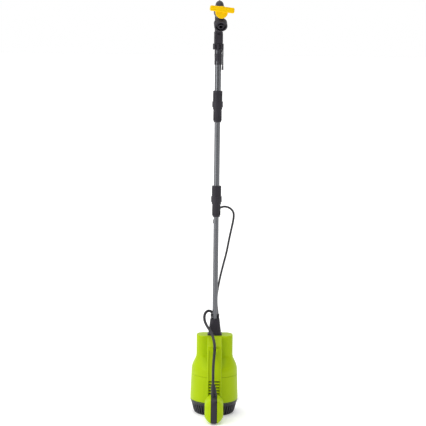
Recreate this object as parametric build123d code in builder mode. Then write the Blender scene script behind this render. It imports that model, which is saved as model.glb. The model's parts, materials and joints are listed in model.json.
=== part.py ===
from build123d import *
from math import cos, pi, radians, sin, tan
import os

# Submersible rain barrel pump with a telescopic riser, a shut-off valve and a float switch.
# Origin: middle of the strainer's resting face, on the pump's axis. +Z up, the float hangs at -Y.
os.makedirs("parts", exist_ok=True)

# ---- driving dimensions, mm ----
FIT = 0.05  # glued, pressed or running fit, on the radius
LOOSE = 0.2  # clearance of moulded parts
WALL = 3.0  # moulded housing wall

STRAINER_HEIGHT = 42.0
STRAINER_TOP_RADIUS = 77.5
STRAINER_WAIST_RADIUS = 72.0
STRAINER_FOOT_RADIUS = 62.0
STRAINER_SLOTS = 44
STRAINER_SLOT_WIDTH = 4.0

BODY_FOOT_RADIUS = 79.2
BODY_RADIUS = 80.0
BELLY_HEIGHT = 56.0
SEAM_HEIGHT = 133.0
SHOULDER_LOW = 159.0
SHOULDER_RADIUS = 76.2
SHOULDER_HIGH = 192.0
NECK_WIDTH = 121.6
NECK_DEPTH = 68.0
NECK_CORNER = 26.0
NECK_TOP = 266.0

COLUMN_WIDTH = 48.0
COLUMN_FACE = 83.0  # distance of the channel cover's face from the axis
COLUMN_FOOT = 62.0
COLUMN_BROW = 240.0  # where its vertical face ends and the slope begins
COLUMN_WALL = 2.6
CHANNEL_WIDTH = 38.0
CHANNEL_DEPTH = 2.0
VENT_COUNT = 5
VENT_PITCH = 10.1
VENT_HEIGHT = 4.4
VENT_WIDTH = 40.0
VENT_TOP = 121.0
LUG_HEIGHT = 231.0
LUG_HALF = 5.0  # half the height of the lugs, in which the lead turns
LUG_WIDTH = 5.0

TUBE_WALL = 0.8
LOWER_TUBE = 17.0
MIDDLE_TUBE = 19.0
UPPER_TUBE = 21.0
SOCKET_TOP = 318.0
SOCKET_STOP = 290.0
LOWER_JOINT = 664.0  # underside of the lower clamp nut
UPPER_JOINT = 978.5
LOWER_TUBE_TOP = 800.0
MIDDLE_TUBE_TOP = 1110.0
UPPER_TUBE_TOP = 1262.0
JOINT_HEIGHT = 103.0
NUT_HEIGHT = 41.5
RING_LOW = 49.5
RING_HIGH = 67.5
RING_RADIUS = 17.9
GRIP_RADIUS = 15.6
COLLET_RADIUS = 11.6
COLLET_DROP = 22.0  # how far the collet reaches down into the nut
SEAL_HEIGHT = 5.0
GRIP_FLUTES = 20
NUT_RIBS = 12
NUT_FOOT_RADIUS = 12.4
NUT_TOP_RADIUS = 13.7
SOCKET_LEDGE = 3.0  # the outer tube stands on it

HEAD_LOW = 1236.0
HEAD_PIPE = 25.0
HEAD_BORE = 17.0
BEND_RADIUS = 22.5
BEND_START = 1340.0
BEND_TURN = 150.0
HEAD_TURN = 6.3  # how far the head stands turned about the riser, in degrees
VALVE_HEIGHT = 1337.5
VALVE_RADIUS = 19.5
PLUG_RADIUS = 12.0
SPINDLE_RADIUS = 5.0
OUTLET_TURN = 50.0
OUTLET_NUT_RADIUS = 21.5
OUTLET_NUT_LENGTH = 20.0
HANDLE_SPAN = 79.0
HANDLE_HEIGHT = 18.0
HANDLE_RISE = 9.5  # of the bar's middle above the spindle
HANDLE_DISC_RADIUS = 20.0
HANDLE_TILT = -6.0
HANDLE_BACK = 80.0

FLOAT_LENGTH = 98.0
FLOAT_HEIGHT = 85.0
FLOAT_THICKNESS = 61.0
FLOAT_BAND = 21.0
FLOAT_GAP = 1.5  # from the channel cover to the float
FLOAT_WALL = 2.5

LEAD_DIAMETER = 9.0
CORD_DIAMETER = 7.0
COIL_RADIUS = 58.0
COIL_THICKNESS = 35.0
COIL_CENTRE = (0.0, 180.0)
PLUG_HEIGHT = COIL_THICKNESS + 19.5
PLUG_Y = COIL_CENTRE[1] + 28.0
PLUG_START = -24.0

SHAFT_RADIUS = 5.0
MOTOR_LOW = 70.0
MOTOR_TOP = 150.0
MOTOR_RADIUS = 46.0
RISER_RADIUS = 9.0
RISER_BORE = 7.0
RISER_OFFSET = 58.0

# ---- routes of the cords, chosen by hand: x, y, z of each corner ----
LEAD_CLIP = (0.0, -91.0, LUG_HEIGHT)
FLOAT_Y = -(COLUMN_FACE + FLOAT_GAP + FLOAT_LENGTH / 2)
FLOAT_Z = FLOAT_HEIGHT / 2 + 0.5
LEAD_GLAND = (-5.2, 23.4)
CORD_GLAND = (9.2, 27.0)
ENTRY_Y = 24.8
ENTRY_DEPTH = 15.6
GLAND_TOP = 306.0
FLOAT_GLAND_TOP = 125.0

LEAD_ROUTE = [
    (*LEAD_GLAND, GLAND_TOP),
    (*LEAD_GLAND, 320),
    (-7.5, 19, 334.5),
    (-14.5, 9.5, 343),
    (-23.5, 0, 343.5),
    (-30.5, -8, 335),
    (-32, -15, 321),
    (-28.5, -23, 308),
    (-21, -33, 295),
    (-13.5, -45, 284),
    (-7, -60, 271.5),
    (-2.5, -77, 260),
    (0, LEAD_CLIP[1], 248),
    (0, LEAD_CLIP[1], LUG_HEIGHT + LUG_HALF + 0.5),
]
DROP_ROUTE = [
    (0, LEAD_CLIP[1], LUG_HEIGHT - LUG_HALF + 1.5),
    (0, LEAD_CLIP[1], 212),
    (0, -97, 196),
    (0, -107, 180),
    (0, -118.5, 165),
    (0, -129, 151),
    (0, FLOAT_Y, 138),
    (0, FLOAT_Y, FLOAT_GLAND_TOP),
]
HANG_X = -4.0
HANG_Y = 27.2
ARCH_CENTRE = (28.0, 662.0)
ARCH_APOTHEM = 32.0
arch = [
    (
        ARCH_CENTRE[0] + ARCH_APOTHEM / cos(radians(15)) * cos(radians(turn)),
        30 - 3 * (turn - 15) / 150,
        ARCH_CENTRE[1] + ARCH_APOTHEM / cos(radians(15)) * sin(radians(turn)),
    )
    for turn in range(15, 166, 30)
]
CORD_ROUTE = [
    (*CORD_GLAND, GLAND_TOP),
    (*CORD_GLAND, 323),
    (8, 29.5, 340),
    (5.5, 35, 359),
    (4.5, 39.5, 384),
    (8.5, 39.5, 414),
    (16, 36, 456),
    (26, 33, 498),
    (36.5, 31, 540),
    (43.5, 31, 580),
    (50, 30, 612),
    (56.5, 30, 642),
    *arch,
    (HANG_X, 27.2, 646),
    (HANG_X + 0.1, 27.3, 608),
    (HANG_X, 27.5, 545),
    (HANG_X - 0.1, 27.4, 462),
    (HANG_X, 27.2, 402),
    (HANG_X, 27.3, 361),
    (-4.5, 33, 334),
    (-5, 46, 306),
    (-5, 62, 279),
    (-2.5, 79, 249),
    (4, 92, 212),
    (13, 98, 172),
    (22, 101, 132),
    (28, 104, 98),
    (26, 110, 72),
    (16, 117, 53),
    (0, 121, 43),
    (-18, 124.5, 37),
    (-34, 132.5, 31),
]
TAIL_ROUTE = [
    (-56.5, 164, 32),
    (-58.5, 180, 39),
    (-55, 194, 46),
    (-47.5, 204.5, 52),
    (-36, PLUG_Y, PLUG_HEIGHT),
    (PLUG_START, PLUG_Y, PLUG_HEIGHT),
]


def corner_radii(route):
    """The largest tangent arc that each corner's two runs leave room for."""
    radii = []
    for before, corner, after in zip(route, route[1:], route[2:]):
        first = Vector(corner) - Vector(before)
        second = Vector(after) - Vector(corner)
        half_turn = radians(first.get_angle(second) / 2)
        radii.append(0.45 * min(first.length, second.length) / tan(half_turn))
    return radii


def cord_tube(route, diameter):
    """A round cord along straight runs joined by tangent arcs, swept in the current part."""
    radii = corner_radii(route)
    with BuildLine() as line:
        path = FilletPolyline(*route, radius=radii)
    with BuildSketch(Plane(origin=path @ 0, z_dir=path % 0)) as section:
        Circle(diameter / 2)
    sweep(section.sketch, path=line.wire())
    share = pi * diameter**2 / 4 * path.length
    print("cord length", round(path.length, 1), "radii", [round(r) for r in radii], "section volume", round(share))


def ring(outer, inner, low, high):
    """A plain ring about the Z axis, extruded in the current part."""
    with BuildSketch(Plane.XY.offset(low)) as section:
        Circle(outer)
        Circle(inner, mode=Mode.SUBTRACT)
    extrude(section.sketch, amount=high - low)


def body_radius(z):
    """Outer radius of the housing between the belly and the shoulder."""
    return BODY_RADIUS + (SHOULDER_RADIUS - BODY_RADIUS) * (z - BELLY_HEIGHT) / (SHOULDER_LOW - BELLY_HEIGHT)


def shoulder(grow, top, mode=Mode.ADD):
    """The upper housing's outer form, grown all round: round foot, lofted shoulder and flat neck."""
    low, high = body_radius(SEAM_HEIGHT) + grow, SHOULDER_RADIUS + grow
    with BuildSketch(Plane.XY.offset(SEAM_HEIGHT)) as foot:
        RectangleRounded(2 * low, 2 * low, low - 1)
    with BuildSketch(Plane.XY.offset(SHOULDER_LOW)) as waist:
        RectangleRounded(2 * high, 2 * high, high - 1)
    with BuildSketch(Plane.XY.offset(SHOULDER_HIGH)) as neck:
        RectangleRounded(NECK_WIDTH + 2 * grow, NECK_DEPTH + 2 * grow, NECK_CORNER + grow)
    loft([foot.sketch, waist.sketch], mode=mode)
    loft([waist.sketch, neck.sketch], mode=mode)
    extrude(neck.sketch, amount=top - SHOULDER_HIGH, mode=mode)


# ---- strainer and housings ----
with BuildPart() as strainer_base:
    with BuildSketch(Plane.XZ):
        with BuildLine():
            Polyline(
                (0, 0),
                (STRAINER_FOOT_RADIUS, 0),
                (STRAINER_FOOT_RADIUS + 5, 4),
                (STRAINER_WAIST_RADIUS, 20),
                (STRAINER_TOP_RADIUS, STRAINER_HEIGHT),
                (STRAINER_TOP_RADIUS - WALL, STRAINER_HEIGHT),
                (STRAINER_WAIST_RADIUS - WALL, 20),
                (STRAINER_FOOT_RADIUS + 2, 6),
                (STRAINER_FOOT_RADIUS - 1, WALL),
                (0, WALL),
                close=True,
            )
        make_face()
    revolve(axis=Axis.Z)
    with BuildSketch(Plane.XY.offset(5)):
        with PolarLocations(STRAINER_TOP_RADIUS - 6, STRAINER_SLOTS):
            Rectangle(22, STRAINER_SLOT_WIDTH)
    extrude(amount=STRAINER_HEIGHT - 15, mode=Mode.SUBTRACT)
strainer_base.part.label = "strainer_base"
export_step(strainer_base.part, "parts/strainer_base.step")

with BuildPart() as lower_housing:
    with BuildSketch(Plane.XZ):
        with BuildLine():
            Polyline(
                (BODY_FOOT_RADIUS, STRAINER_HEIGHT),
                (BODY_RADIUS, BELLY_HEIGHT),
                (body_radius(SEAM_HEIGHT), SEAM_HEIGHT),
                (body_radius(SEAM_HEIGHT) - WALL, SEAM_HEIGHT),
                (BODY_RADIUS - WALL, BELLY_HEIGHT),
                (BODY_FOOT_RADIUS - WALL, STRAINER_HEIGHT),
                close=True,
            )
        make_face()
    revolve(axis=Axis.Z)
    chamfer(lower_housing.edges().filter_by(GeomType.CIRCLE).group_by(Axis.Z)[-1].sort_by(SortBy.RADIUS)[-1], 0.8)
    with BuildSketch(Plane.XZ.offset(BODY_RADIUS - 3 * WALL)):
        with Locations((0, VENT_TOP - (VENT_COUNT - 1) * VENT_PITCH / 2)):
            RectangleRounded(VENT_WIDTH - 6, VENT_COUNT * VENT_PITCH, 3)
    extrude(amount=4 * WALL, mode=Mode.SUBTRACT)
lower_housing.part.label = "lower_housing"
export_step(lower_housing.part, "parts/lower_housing.step")

with BuildPart() as upper_housing:
    shoulder(0, NECK_TOP)
    fillet(upper_housing.edges().group_by(Axis.Z)[-1], 2.5)
    shoulder(-WALL, NECK_TOP - WALL, Mode.SUBTRACT)
    with Locations((0, 0, NECK_TOP)):
        Hole(RISER_RADIUS + FIT, depth=2 * WALL)
    with Locations((*LEAD_GLAND, NECK_TOP), (*CORD_GLAND, NECK_TOP)):
        Hole(LEAD_DIAMETER / 2, depth=2 * WALL)
upper_housing.part.label = "upper_housing"
export_step(upper_housing.part, "parts/upper_housing.step")

with BuildPart() as channel_cover:
    with BuildSketch(Plane.YZ) as cover_side:
        with BuildLine():
            Polyline(
                (-COLUMN_FACE, COLUMN_FOOT),
                (-COLUMN_FACE, COLUMN_BROW),
                (-NECK_DEPTH / 2 - 4, NECK_TOP - 2),
                (-NECK_DEPTH / 2 + 1, NECK_TOP - 2),
                (-NECK_DEPTH / 2 + 1, COLUMN_FOOT),
                close=True,
            )
        make_face()
        fillet(cover_side.vertices().sort_by_distance((-COLUMN_FACE, COLUMN_BROW))[0], 10)
    extrude(amount=COLUMN_WIDTH / 2, both=True)
    fillet(channel_cover.edges().filter_by(Axis.Z).group_by(Axis.Y)[0], 4)
    with BuildSketch(Plane.XZ.offset(COLUMN_FACE - CHANNEL_DEPTH)):
        with Locations((0, (COLUMN_FOOT + LUG_HEIGHT) / 2 + 1)):
            RectangleRounded(CHANNEL_WIDTH, LUG_HEIGHT - COLUMN_FOOT - 12, 3)
    extrude(amount=2 * CHANNEL_DEPTH, mode=Mode.SUBTRACT)
    with BuildSketch(Plane.XY.offset(COLUMN_FOOT + COLUMN_WALL)):
        with Locations((0, -(COLUMN_FACE - CHANNEL_DEPTH - COLUMN_WALL) / 2)):
            Rectangle(COLUMN_WIDTH - 2 * COLUMN_WALL, COLUMN_FACE - CHANNEL_DEPTH - COLUMN_WALL)
    extrude(amount=COLUMN_BROW - 14 - COLUMN_FOOT, mode=Mode.SUBTRACT)
    with BuildSketch(Plane.XZ.offset(COLUMN_FACE - CHANNEL_DEPTH - COLUMN_WALL - 2)):
        with Locations((0, VENT_TOP - (VENT_COUNT - 1) * VENT_PITCH / 2)):
            with GridLocations(0, VENT_PITCH, 1, VENT_COUNT):
                RectangleRounded(VENT_WIDTH, VENT_HEIGHT, VENT_HEIGHT / 2 - 0.1)
    extrude(amount=10, mode=Mode.SUBTRACT)
    with BuildSketch(Plane.XZ.offset(COLUMN_FACE - CHANNEL_DEPTH)):
        with Locations((0, LUG_HEIGHT)):
            with GridLocations(LEAD_DIAMETER + 0.6 + LUG_WIDTH, 0, 2, 1):
                RectangleRounded(LUG_WIDTH, 2 * LUG_HALF, 2)
    extrude(amount=LEAD_DIAMETER + CHANNEL_DEPTH + 3)
    shoulder(LOOSE, NECK_TOP, Mode.SUBTRACT)
    with BuildSketch(Plane.XZ):
        with BuildLine():
            Polyline(
                (0, STRAINER_HEIGHT),
                (BODY_RADIUS + LOOSE, STRAINER_HEIGHT),
                (BODY_RADIUS + LOOSE, BELLY_HEIGHT),
                (body_radius(SEAM_HEIGHT) + LOOSE, SEAM_HEIGHT),
                (0, SEAM_HEIGHT),
                close=True,
            )
        make_face()
    revolve(axis=Axis.Z, mode=Mode.SUBTRACT)
channel_cover.part.label = "channel_cover"
export_step(channel_cover.part, "parts/channel_cover.step")

# ---- motor and pump inside ----
with BuildPart() as suction_plate:
    ring(70, 16, 44, 46.5)
suction_plate.part.label = "suction_plate"
export_step(suction_plate.part, "parts/suction_plate.step")

with BuildPart() as volute_casing:
    with BuildSketch(Plane.XY.offset(46.5)):
        Circle(72)
        Circle(46, mode=Mode.SUBTRACT)
    extrude(amount=17.5)
    ring(72, SHAFT_RADIUS + 4, 64, 67)
    with BuildSketch(Plane.XY.offset(56)):
        with Locations((0, RISER_OFFSET)):
            Circle(RISER_RADIUS + FIT)
    extrude(amount=11, mode=Mode.SUBTRACT)
    with BuildSketch(Plane.XZ.offset(-RISER_OFFSET)):
        with Locations((0, 55)):
            Circle(6)
    extrude(amount=30, mode=Mode.SUBTRACT)
volute_casing.part.label = "volute_casing"
export_step(volute_casing.part, "parts/volute_casing.step")

with BuildPart() as impeller:
    ring(38, SHAFT_RADIUS, 57, 60)
    ring(9, SHAFT_RADIUS, 48.5, 57)
    with BuildSketch(Plane.XY.offset(50)):
        with PolarLocations(23, 6):
            with Locations(Rotation(0, 0, 25)):
                Rectangle(28, 2.4)
    extrude(amount=7)
impeller.part.label = "impeller"
export_step(impeller.part, "parts/impeller.step")

with BuildPart() as motor_shaft:
    with BuildSketch(Plane.XY.offset(48.5)):
        Circle(SHAFT_RADIUS)
    extrude(amount=MOTOR_TOP - 6 - 48.5)
motor_shaft.part.label = "motor_shaft"
export_step(motor_shaft.part, "parts/motor_shaft.step")

with BuildPart() as shaft_seal:
    ring(SHAFT_RADIUS + 4, SHAFT_RADIUS + FIT, 61, 69.5)
shaft_seal.part.label = "shaft_seal"
export_step(shaft_seal.part, "parts/shaft_seal.step")

with BuildPart() as motor_can:
    ring(MOTOR_RADIUS, 13 + FIT, MOTOR_LOW, MOTOR_LOW + 10)
    ring(MOTOR_RADIUS, MOTOR_RADIUS - 2, MOTOR_LOW + 10, MOTOR_TOP - 3)
    with BuildSketch(Plane.XY.offset(MOTOR_TOP - 3)):
        Circle(MOTOR_RADIUS)
    extrude(amount=3)
    ring(17, 13 + FIT, MOTOR_TOP - 12, MOTOR_TOP - 3)
    ring(MOTOR_RADIUS + 22, MOTOR_RADIUS, MOTOR_LOW, MOTOR_LOW + 3)
    with Locations((0, RISER_OFFSET, MOTOR_LOW + 3)):
        Hole(RISER_RADIUS + FIT, depth=4)
motor_can.part.label = "motor_can"
export_step(motor_can.part, "parts/motor_can.step")

with BuildPart() as lower_bearing:
    ring(13, SHAFT_RADIUS + FIT, MOTOR_LOW + 1, MOTOR_LOW + 10)
lower_bearing.part.label = "lower_bearing"
export_step(lower_bearing.part, "parts/lower_bearing.step")

with BuildPart() as upper_bearing:
    ring(13, SHAFT_RADIUS + FIT, MOTOR_TOP - 12, MOTOR_TOP - 3.5)
upper_bearing.part.label = "upper_bearing"
export_step(upper_bearing.part, "parts/upper_bearing.step")

with BuildPart() as stator:
    with BuildSketch(Plane.XY.offset(MOTOR_LOW + 22)):
        Circle(MOTOR_RADIUS - 2)
        Circle(24.6, mode=Mode.SUBTRACT)
        with PolarLocations(31, 12):
            SlotOverall(9, 5, mode=Mode.SUBTRACT)
    extrude(amount=34)
stator.part.label = "stator"
export_step(stator.part, "parts/stator.step")

with BuildPart() as stator_windings:
    ring(38, 26, MOTOR_LOW + 13, MOTOR_LOW + 22)
    ring(38, 26, MOTOR_LOW + 56, MOTOR_LOW + 65)
    with BuildSketch(Plane.XY.offset(MOTOR_LOW + 22)):
        with PolarLocations(31, 12):
            SlotOverall(8.4, 4.4)
    extrude(amount=34)
stator_windings.part.label = "stator_windings"
export_step(stator_windings.part, "parts/stator_windings.step")

with BuildPart() as rotor:
    ring(24, SHAFT_RADIUS, MOTOR_LOW + 22, MOTOR_LOW + 56)
    ring(20, SHAFT_RADIUS, MOTOR_LOW + 18, MOTOR_LOW + 22)
    ring(20, SHAFT_RADIUS, MOTOR_LOW + 56, MOTOR_LOW + 60)
rotor.part.label = "rotor"
export_step(rotor.part, "parts/rotor.step")

with BuildPart() as capacitor:
    with BuildSketch(Plane.XY.offset(MOTOR_TOP)):
        with Locations((-28, 0)):
            Circle(15)
    extrude(amount=52)
    fillet(capacitor.edges().group_by(Axis.Z)[-1], 2)
capacitor.part.label = "capacitor"
export_step(capacitor.part, "parts/capacitor.step")

with BuildPart() as riser_pipe:
    with BuildLine() as riser_line:
        FilletPolyline(
            (0, RISER_OFFSET, 57),
            (0, RISER_OFFSET, 154),
            (0, 0, 204),
            (0, 0, NECK_TOP + 4),
            radius=18,
        )
    with BuildSketch(Plane.XY.offset(57)):
        with Locations((0, RISER_OFFSET)):
            Circle(RISER_RADIUS)
            Circle(RISER_BORE, mode=Mode.SUBTRACT)
    sweep(path=riser_line.wire())
riser_pipe.part.label = "riser_pipe"
export_step(riser_pipe.part, "parts/riser_pipe.step")

# ---- outlet socket, check valve and cable entry on the pump's top ----
with BuildPart() as outlet_socket:
    with BuildSketch(Plane.XY.offset(NECK_TOP)):
        with Locations((0, -6)):
            RectangleRounded(44, 40, 9)
    with BuildSketch(Plane.XY.offset(SOCKET_TOP)):
        RectangleRounded(31, 30, 12)
    loft()
    with BuildSketch(Plane.XY.offset(NECK_TOP)):
        with Locations((0, -6)):
            RectangleRounded(48, 44, 10)
    extrude(amount=3.5)
    with BuildSketch(Plane.YZ):
        with Locations((0, SOCKET_TOP + 4)):
            Rectangle(13, 14)
            with Locations((0, 7)):
                Circle(6.5)
    extrude(amount=14.5, both=True)
    with BuildSketch(Plane.XY.offset(SOCKET_TOP)):
        Rectangle(21, 40)
    extrude(amount=30, mode=Mode.SUBTRACT)
    with BuildSketch(Plane.XY.offset(NECK_TOP)):
        Circle(RISER_RADIUS + FIT)
    extrude(amount=22, mode=Mode.SUBTRACT)
    with BuildSketch(Plane.XY.offset(NECK_TOP)):
        Circle(LOWER_TUBE / 2 - TUBE_WALL)
    extrude(amount=40, mode=Mode.SUBTRACT)
    with BuildSketch(Plane.XY.offset(SOCKET_STOP)):
        Circle(LOWER_TUBE / 2 + FIT)
    extrude(amount=60, mode=Mode.SUBTRACT)
outlet_socket.part.label = "outlet_socket"
export_step(outlet_socket.part, "parts/outlet_socket.step")

with BuildPart() as check_valve_flap:
    with BuildSketch(Plane.XY.offset(NECK_TOP + 4 + LOOSE)):
        Circle(RISER_BORE + 0.6)
    extrude(amount=1.6)
check_valve_flap.part.label = "check_valve_flap"
export_step(check_valve_flap.part, "parts/check_valve_flap.step")

with BuildPart() as cable_entry:
    with BuildSketch(Plane.XY.offset(NECK_TOP)):
        with Locations(((LEAD_GLAND[0] + CORD_GLAND[0]) / 2, ENTRY_Y)):
            RectangleRounded(CORD_GLAND[0] - LEAD_GLAND[0] + 16, ENTRY_DEPTH, 4)
    extrude(amount=14)
    fillet(cable_entry.edges().group_by(Axis.Z)[-1], 1)
    with Locations((*LEAD_GLAND, NECK_TOP + 14), (*CORD_GLAND, NECK_TOP + 14)):
        Hole(LEAD_DIAMETER / 2 + LOOSE, depth=20)
cable_entry.part.label = "cable_entry"
export_step(cable_entry.part, "parts/cable_entry.step")


def strain_relief(place, low, high, foot, bore):
    """A tapered rubber sleeve with grooves, which a cord comes up through."""
    tip = bore + 1.4
    with BuildSketch(Plane.XY.offset(low)) as base:
        with Locations(place):
            Circle(foot)
    with BuildSketch(Plane.XY.offset(high)) as top:
        with Locations(place):
            Circle(tip)
    loft([base.sketch, top.sketch])
    for step in range(1, 5):
        share = 0.15 + 0.18 * step
        with BuildSketch(Plane.XY.offset(low + (high - low) * share)) as groove:
            with Locations(place):
                Circle(foot + 2)
                Circle(foot + (tip - foot) * share - 0.9, mode=Mode.SUBTRACT)
        extrude(groove.sketch, amount=1.6, mode=Mode.SUBTRACT)
    with BuildSketch(Plane.XY.offset(low)) as hole:
        with Locations(place):
            Circle(bore)
    extrude(hole.sketch, amount=high - low, mode=Mode.SUBTRACT)


with BuildPart() as lead_strain_relief:
    strain_relief(LEAD_GLAND, NECK_TOP + 14, GLAND_TOP, 7, LEAD_DIAMETER / 2 - 0.8)
lead_strain_relief.part.label = "lead_strain_relief"
export_step(lead_strain_relief.part, "parts/lead_strain_relief.step")

with BuildPart() as cord_strain_relief:
    strain_relief(CORD_GLAND, NECK_TOP + 14, GLAND_TOP, 6.5, CORD_DIAMETER / 2 - 0.8)
cord_strain_relief.part.label = "cord_strain_relief"
export_step(cord_strain_relief.part, "parts/cord_strain_relief.step")

# ---- telescopic tubes ----
with BuildPart() as lower_tube:
    ring(LOWER_TUBE / 2, LOWER_TUBE / 2 - TUBE_WALL, SOCKET_STOP, LOWER_TUBE_TOP)
lower_tube.part.label = "lower_tube"
export_step(lower_tube.part, "parts/lower_tube.step")

with BuildPart() as middle_tube:
    ring(MIDDLE_TUBE / 2, MIDDLE_TUBE / 2 - TUBE_WALL, LOWER_JOINT + RING_LOW + SOCKET_LEDGE, MIDDLE_TUBE_TOP)
middle_tube.part.label = "middle_tube"
export_step(middle_tube.part, "parts/middle_tube.step")

with BuildPart() as upper_tube:
    ring(UPPER_TUBE / 2, UPPER_TUBE / 2 - TUBE_WALL, UPPER_JOINT + RING_LOW + SOCKET_LEDGE, UPPER_TUBE_TOP)
upper_tube.part.label = "upper_tube"
export_step(upper_tube.part, "parts/upper_tube.step")



def joint_socket(base, inner_tube, outer_tube):
    """Moulded socket: glued on the outer tube, with a collet round the inner one and a fluted grip."""
    ring(COLLET_RADIUS, inner_tube / 2 + LOOSE, base + NUT_HEIGHT - COLLET_DROP, base + NUT_HEIGHT + LOOSE)
    ring(GRIP_RADIUS, inner_tube / 2 + LOOSE, base + NUT_HEIGHT + LOOSE, base + RING_LOW)
    ring(RING_RADIUS, inner_tube / 2 + LOOSE, base + RING_LOW, base + RING_LOW + SOCKET_LEDGE)
    ring(RING_RADIUS, outer_tube / 2, base + RING_LOW + SOCKET_LEDGE, base + RING_HIGH)
    ring(GRIP_RADIUS, outer_tube / 2, base + RING_HIGH, base + JOINT_HEIGHT)
    with BuildSketch(Plane.XY.offset(base + RING_HIGH + 4)) as flutes:
        with PolarLocations(GRIP_RADIUS + 0.6, GRIP_FLUTES):
            Circle(1.4)
    extrude(flutes.sketch, amount=JOINT_HEIGHT - RING_HIGH - 8, mode=Mode.SUBTRACT)


def joint_nut(base, inner_tube):
    """Tapered clamp nut with ribs, turned on the collet to grip the inner tube."""
    with BuildSketch(Plane.XY.offset(base)) as foot:
        Circle(NUT_FOOT_RADIUS)
    with BuildSketch(Plane.XY.offset(base + NUT_HEIGHT)) as top:
        Circle(NUT_TOP_RADIUS)
    loft([foot.sketch, top.sketch])
    with BuildSketch(Plane.XY.offset(base + 5)) as ribs:
        with PolarLocations(NUT_FOOT_RADIUS + 0.5, NUT_RIBS):
            Rectangle(2.2, 1.8)
    extrude(ribs.sketch, amount=NUT_HEIGHT - 9)
    with BuildSketch(Plane.XY.offset(base)) as bore:
        Circle(inner_tube / 2 + LOOSE)
    extrude(bore.sketch, amount=NUT_HEIGHT, mode=Mode.SUBTRACT)
    with BuildSketch(Plane.XY.offset(base + NUT_HEIGHT - COLLET_DROP - SEAL_HEIGHT - 0.6)) as seat:
        Circle(COLLET_RADIUS + FIT)
    extrude(seat.sketch, amount=NUT_HEIGHT, mode=Mode.SUBTRACT)


def joint_seal(base, inner_tube):
    """Rubber ring between the collet and the nut's foot."""
    low = base + NUT_HEIGHT - COLLET_DROP - SEAL_HEIGHT - 0.3
    ring(COLLET_RADIUS - 0.3, inner_tube / 2 + FIT, low, low + SEAL_HEIGHT)


with BuildPart() as lower_joint_socket:
    joint_socket(LOWER_JOINT, LOWER_TUBE, MIDDLE_TUBE)
lower_joint_socket.part.label = "lower_joint_socket"
export_step(lower_joint_socket.part, "parts/lower_joint_socket.step")

with BuildPart() as lower_joint_nut:
    joint_nut(LOWER_JOINT, LOWER_TUBE)
lower_joint_nut.part.label = "lower_joint_nut"
export_step(lower_joint_nut.part, "parts/lower_joint_nut.step")

with BuildPart() as lower_joint_seal:
    joint_seal(LOWER_JOINT, LOWER_TUBE)
lower_joint_seal.part.label = "lower_joint_seal"
export_step(lower_joint_seal.part, "parts/lower_joint_seal.step")

with BuildPart() as upper_joint_socket:
    joint_socket(UPPER_JOINT, MIDDLE_TUBE, UPPER_TUBE)
upper_joint_socket.part.label = "upper_joint_socket"
export_step(upper_joint_socket.part, "parts/upper_joint_socket.step")

with BuildPart() as upper_joint_nut:
    joint_nut(UPPER_JOINT, MIDDLE_TUBE)
upper_joint_nut.part.label = "upper_joint_nut"
export_step(upper_joint_nut.part, "parts/upper_joint_nut.step")

with BuildPart() as upper_joint_seal:
    joint_seal(UPPER_JOINT, MIDDLE_TUBE)
upper_joint_seal.part.label = "upper_joint_seal"
export_step(upper_joint_seal.part, "parts/upper_joint_seal.step")

CLIP_BORE = CORD_DIAMETER / 2 + 1.0
CLIP_RADIUS = CLIP_BORE + 2.0
CLIP_LOW = 638.0
CLIP_HIGH = 650.0
CLIP_SEAT = (LOWER_JOINT + RING_LOW + 1, LOWER_JOINT + RING_HIGH - 1)

with BuildPart() as cord_clip:
    with BuildSketch(Plane.XY.offset(CLIP_SEAT[0])):
        with Locations((HANG_X, 15)):
            Rectangle(7, 12)
        Circle(RING_RADIUS, mode=Mode.SUBTRACT)
    extrude(amount=CLIP_SEAT[1] - CLIP_SEAT[0])
    with BuildSketch(Plane.XY.offset(CLIP_LOW)):
        with Locations((HANG_X, 19.9)):
            Rectangle(7, 2.2)
    extrude(amount=CLIP_SEAT[1] - CLIP_LOW)
    with BuildSketch(Plane.XY.offset(CLIP_LOW)):
        with Locations((HANG_X, HANG_Y)):
            Circle(CLIP_RADIUS)
            Circle(CLIP_BORE, mode=Mode.SUBTRACT)
            with Locations((0, CLIP_RADIUS)):
                Rectangle(5, CLIP_RADIUS, mode=Mode.SUBTRACT)
    extrude(amount=CLIP_HIGH - CLIP_LOW)
cord_clip.part.label = "cord_clip"
export_step(cord_clip.part, "parts/cord_clip.step")

# ---- head: grip sleeve, collar, lever, bend, valve and outlet ----
COLLAR_LOW = HEAD_LOW - 19.7
SLEEVE_LOW = HEAD_LOW - 69
SLEEVE_STEP = HEAD_LOW - 34.5
COLLAR_RADIUS = 17.6
COLLAR_SLOT_TURN = -27.0
LEVER_X = 14.5
LEVER_HEIGHT = COLLAR_LOW - 4.5

with BuildPart() as grip_sleeve:
    ring(UPPER_TUBE / 2 + 1.8, UPPER_TUBE / 2 + FIT, SLEEVE_LOW, SLEEVE_STEP)
    ring(UPPER_TUBE / 2 + 1.2, UPPER_TUBE / 2 + FIT, SLEEVE_STEP, COLLAR_LOW - LOOSE)
    with BuildSketch(Plane.XY.offset(SLEEVE_LOW)):
        with PolarLocations(UPPER_TUBE / 2 + 1, 8, start_angle=COLLAR_SLOT_TURN):
            Rectangle(6, 3.4)
    extrude(amount=13, mode=Mode.SUBTRACT)
    with BuildSketch(Plane.XY.offset(SLEEVE_STEP + 1.5)):
        with PolarLocations(UPPER_TUBE / 2 + 1, 8, start_angle=COLLAR_SLOT_TURN):
            Rectangle(6, 3)
    extrude(amount=11, mode=Mode.SUBTRACT)
grip_sleeve.part.label = "grip_sleeve"
export_step(grip_sleeve.part, "parts/grip_sleeve.step")

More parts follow.
